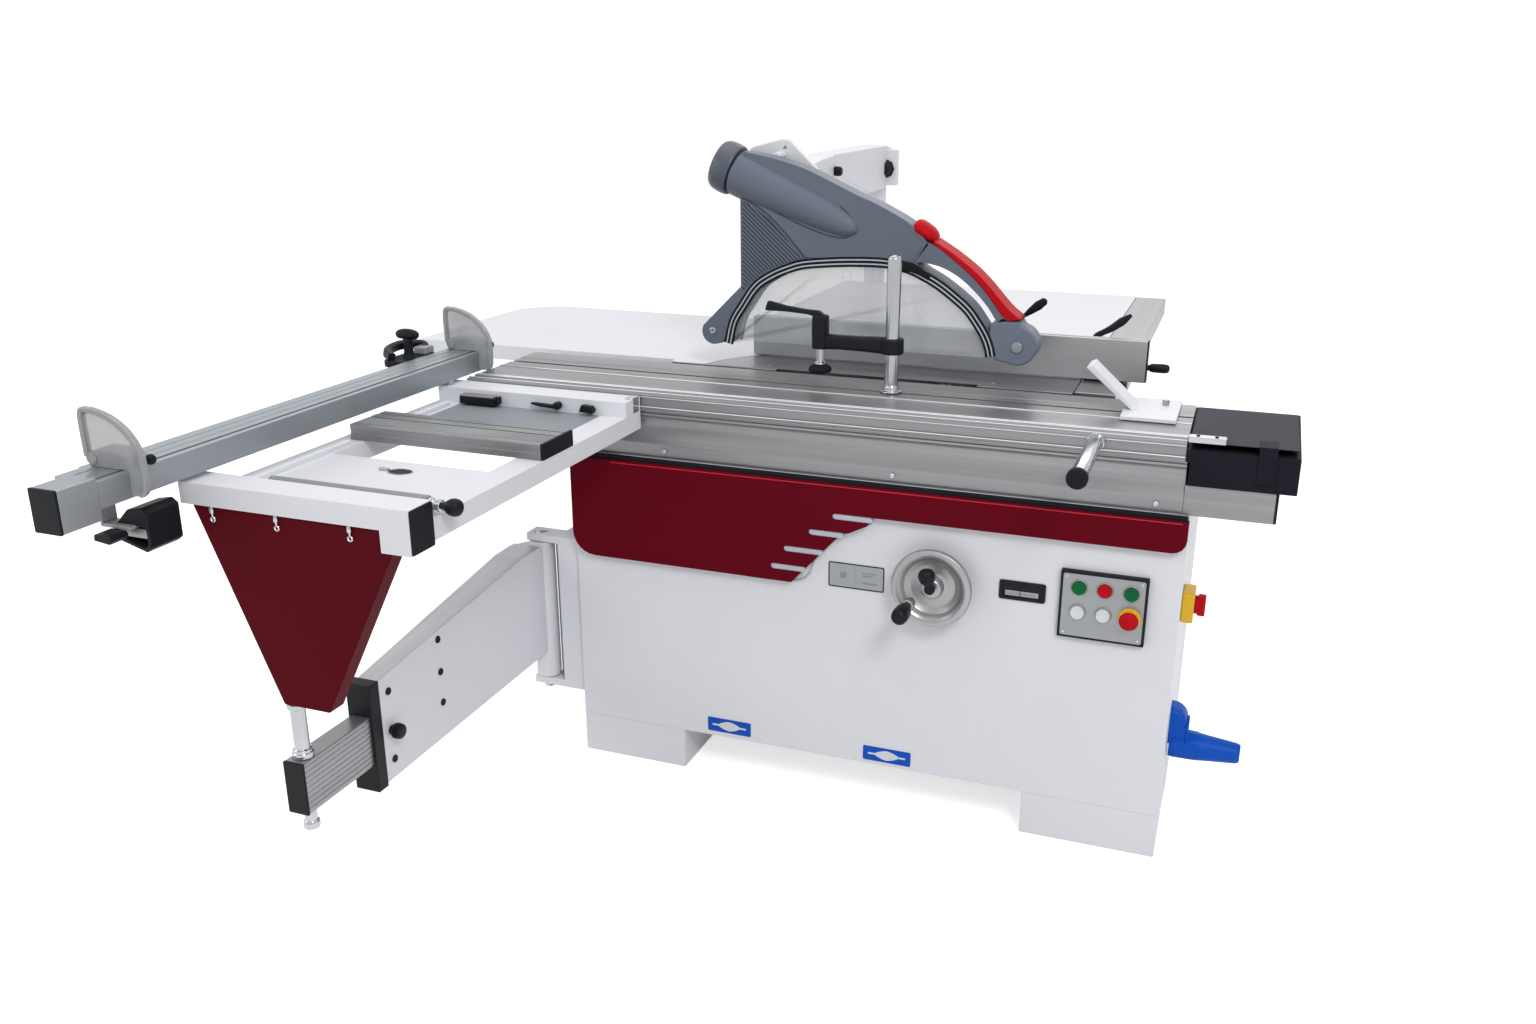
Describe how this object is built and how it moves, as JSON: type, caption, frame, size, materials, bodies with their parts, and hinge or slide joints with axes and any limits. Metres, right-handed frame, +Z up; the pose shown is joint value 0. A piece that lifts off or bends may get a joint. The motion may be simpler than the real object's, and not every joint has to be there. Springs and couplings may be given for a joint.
{
  "type": "panel saw",
  "caption": "Sliding-table panel saw with outrigger frame on a swing arm, crosscut and rip fences, tilting blade unit and an overhead guard.",
  "frame": {"origin": "on the floor, under the middle of the whole machine's box at rest", "axes": "+X along the sliding table towards the operator's end, +Y from the front to the side table, +Z up"},
  "size_m": [2.1856, 2.932, 1.436],
  "materials": {
    "white_paint": "smooth powder coat",
    "red_paint": "gloss",
    "red_plastic": "gloss",
    "aluminium": "anodised satin",
    "cast_iron": "ground",
    "chrome": "polished",
    "black_plastic": "fine grain",
    "smoked_plastic": "satin",
    "slate_plastic": "fine grain",
    "clear_plastic": "clear",
    "steel": "brushed",
    "green_plastic": "gloss",
    "grey_plastic": "gloss",
    "yellow_plastic": "satin",
    "blue_plastic": "satin"
  },
  "bodies": {
    "machine": {"cabinet": "white_paint", "plinth_left": "white_paint", "plinth_right": "white_paint", "front_band": "red_paint", "guide_beam": "aluminium", "guide_extension": "aluminium", "main_table": "cast_iron", "side_table": "white_paint", "outfeed_table": "white_paint", "rip_rail": "aluminium", "control_panel": "black_plastic", "switch_plate": "yellow_plastic", "power_inlet": "blue_plastic", "arm_bracket": "white_paint", "pivot_pin": "chrome", "guard_column": "white_paint", "guard_arm": "white_paint"},
    "door": {"rear_door": "white_paint"},
    "carriage": {"sliding_carriage": "aluminium", "carriage_end_cover": "smoked_plastic", "push_handle": "chrome", "edging_shoe": "white_paint", "crosscut_frame": "white_paint", "support_beam": "aluminium", "support_panel": "red_paint"},
    "clamp_post": {"clamp_post": "chrome"},
    "clamp_arm": {"clamp_arm": "black_plastic"},
    "clamp_spindle": {"clamp_spindle": "black_plastic"},
    "roller": {"support_roller": "aluminium"},
    "roller_lever": {"roller_lever": "black_plastic"},
    "fence": {"crosscut_fence": "aluminium"},
    "fence_extension": {"fence_extension": "aluminium"},
    "stop_near": {"stop_carrier_near": "clear_plastic"},
    "paddle_near": {"flip_stop_near": "clear_plastic"},
    "stop_far": {"stop_carrier_far": "clear_plastic"},
    "paddle_far": {"flip_stop_far": "clear_plastic"},
    "fence_knob": {"fence_knob": "black_plastic"},
    "swing_arm": {"swing_arm": "white_paint", "arm_collar": "black_plastic"},
    "inner_arm": {"inner_arm": "aluminium", "support_post": "chrome"},
    "rip_carrier": {"rip_carrier": "aluminium"},
    "rip_fence": {"rip_fence": "aluminium"},
    "rip_lever": {"rip_lever": "black_plastic"},
    "guard": {"guard_hood": "slate_plastic", "guard_window": "clear_plastic"},
    "handwheel": {"handwheel": "aluminium"},
    "crank": {"crank_handle": "black_plastic"},
    "trunnion": {"trunnion": "cast_iron"},
    "saw_unit": {"saw_bed": "cast_iron", "motor": "slate_plastic"},
    "blade": {"saw_blade": "steel"},
    "scorer": {"scoring_blade": "steel"},
    "switch": {"switch_knob": "red_plastic"},
    "button_start": {"button_start": "green_plastic"},
    "button_stop": {"button_stop": "red_plastic"},
    "button_scorer": {"button_scorer": "green_plastic"},
    "button_lamp": {"button_lamp": "grey_plastic"},
    "button_reset": {"button_reset": "grey_plastic"},
    "button_emergency": {"button_emergency": "red_plastic"}
  },
  "joints": [
    {"name": "table_slide", "type": "slide", "parent": "machine", "child": "carriage", "axis": [1, 0, 0], "range_m": [0, 0.75]},
    {"name": "arm_swing", "type": "hinge", "parent": "machine", "child": "swing_arm", "pos_m": [-0.5575, -0.31065, 0.228], "axis": [0, 0, 1], "range_deg": [0, 41.3]},
    {"name": "arm_extend", "type": "slide", "parent": "swing_arm", "child": "inner_arm", "axis": [0, -1, 0], "range_m": [0, 0.275]},
    {"name": "clamp_swivel", "type": "hinge", "parent": "carriage", "child": "clamp_post", "pos_m": [0.2475, -0.14265, 0.912], "axis": [0, 0, 1], "range_deg": [-18, 180]},
    {"name": "clamp_height", "type": "slide", "parent": "clamp_post", "child": "clamp_arm", "axis": [0, 0, 1], "range_m": [-0.03, 0.15]},
    {"name": "clamp_screw", "type": "slide", "parent": "clamp_arm", "child": "clamp_spindle", "axis": [0, 0, 1], "range_m": [0, 0.028]},
    {"name": "roller_spin", "type": "hinge", "parent": "carriage", "child": "roller", "pos_m": [-0.6175, -1.11365, 0.8881], "axis": [1, 0, 0], "continuous": true},
    {"name": "roller_lever_turn", "type": "hinge", "parent": "carriage", "child": "roller_lever", "pos_m": [-0.2755, -1.11365, 0.8881], "axis": [1, 0, 0], "range_deg": [-90, 90]},
    {"name": "fence_angle", "type": "hinge", "parent": "carriage", "child": "fence", "pos_m": [-0.7285, -0.39065, 0.9135], "axis": [0, 0, 1], "range_deg": [-45, 0]},
    {"name": "fence_extend", "type": "slide", "parent": "fence", "child": "fence_extension", "axis": [0, -1, 0], "range_m": [0, 0.35]},
    {"name": "stop_near_slide", "type": "slide", "parent": "fence", "child": "stop_near", "axis": [0, 1, 0], "range_m": [0, 0.78]},
    {"name": "stop_near_flip", "type": "hinge", "parent": "stop_near", "child": "paddle_near", "pos_m": [-0.7915, -1.31565, 0.9743], "axis": [0, -1, 0], "range_deg": [0, 90]},
    {"name": "stop_far_slide", "type": "slide", "parent": "fence", "child": "stop_far", "axis": [0, 1, 0], "range_m": [-0.2, 0]},
    {"name": "stop_far_flip", "type": "hinge", "parent": "stop_far", "child": "paddle_far", "pos_m": [-0.7915, -0.27565, 0.9743], "axis": [0, -1, 0], "range_deg": [0, 90]},
    {"name": "fence_knob_turn", "type": "hinge", "parent": "fence", "child": "fence_knob", "pos_m": [-0.8325, -0.39065, 0.96], "axis": [0, 0, 1], "range_deg": [0, 180]},
    {"name": "rip_slide", "type": "slide", "parent": "machine", "child": "rip_carrier", "axis": [0, 1, 0], "range_m": [-0.1, 1.1]},
    {"name": "rip_shift", "type": "slide", "parent": "rip_carrier", "child": "rip_fence", "axis": [1, 0, 0], "range_m": [-0.1, 0.1]},
    {"name": "rip_lever_turn", "type": "hinge", "parent": "rip_carrier", "child": "rip_lever", "pos_m": [0.7391, 0.19965, 0.9368], "axis": [0, 1, 0], "range_deg": [-40, 30]},
    {"name": "guard_tilt", "type": "hinge", "parent": "machine", "child": "guard", "pos_m": [-0.0865, 0.07435, 1.4], "axis": [0, 1, 0], "range_deg": [-35, 0]},
    {"name": "wheel_turn", "type": "hinge", "parent": "machine", "child": "handwheel", "pos_m": [0.4125, -0.34565, 0.56], "axis": [0, 1, 0], "range_deg": [0, 1800]},
    {"name": "crank_spin", "type": "hinge", "parent": "handwheel", "child": "crank", "pos_m": [0.36494, -0.39365, 0.51718], "axis": [0, 1, 0], "continuous": true},
    {"name": "blade_tilt", "type": "hinge", "parent": "machine", "child": "trunnion", "pos_m": [-0.1725, -0.00565, 0.912], "axis": [1, 0, 0], "range_deg": [-45, 0]},
    {"name": "blade_rise", "type": "slide", "parent": "trunnion", "child": "saw_unit", "axis": [0, 0, 1], "range_m": [0, 0.1]},
    {"name": "blade_spin", "type": "hinge", "parent": "saw_unit", "child": "blade", "pos_m": [0.0975, -0.00565, 0.7495], "axis": [0, 1, 0], "continuous": true},
    {"name": "scorer_spin", "type": "hinge", "parent": "trunnion", "child": "scorer", "pos_m": [0.3425, -0.00565, 0.849], "axis": [0, 1, 0], "continuous": true},
    {"name": "switch_turn", "type": "hinge", "parent": "machine", "child": "switch", "pos_m": [0.9321, -0.25565, 0.55], "axis": [1, 0, 0], "range_deg": [0, 90]},
    {"name": "door_hinge", "type": "hinge", "parent": "machine", "child": "door", "pos_m": [-0.1045, 0.39265, 0.16], "axis": [0, 0, 1], "range_deg": [0, 90]},
    {"name": "button_start_travel", "type": "slide", "parent": "machine", "child": "button_start", "axis": [0, 1, 0], "range_m": [0, 0.004], "stiffness_N_per_m": 400},
    {"name": "button_stop_travel", "type": "slide", "parent": "machine", "child": "button_stop", "axis": [0, 1, 0], "range_m": [0, 0.004], "stiffness_N_per_m": 400},
    {"name": "button_scorer_travel", "type": "slide", "parent": "machine", "child": "button_scorer", "axis": [0, 1, 0], "range_m": [0, 0.004], "stiffness_N_per_m": 400},
    {"name": "button_lamp_travel", "type": "slide", "parent": "machine", "child": "button_lamp", "axis": [0, 1, 0], "range_m": [0, 0.004], "stiffness_N_per_m": 400},
    {"name": "button_reset_travel", "type": "slide", "parent": "machine", "child": "button_reset", "axis": [0, 1, 0], "range_m": [0, 0.004], "stiffness_N_per_m": 400},
    {"name": "button_emergency_travel", "type": "slide", "parent": "machine", "child": "button_emergency", "axis": [0, 1, 0], "range_m": [0, 0.004], "stiffness_N_per_m": 400}
  ],
  "couplings": [
    {"joint": "arm_swing", "follows": "table_slide", "rad_per_m": 0.958},
    {"joint": "arm_extend", "follows": "table_slide", "ratio": 0.365},
    {"joint": "wheel_turn", "follows": "blade_rise", "rad_per_m": 314.16}
  ]
}
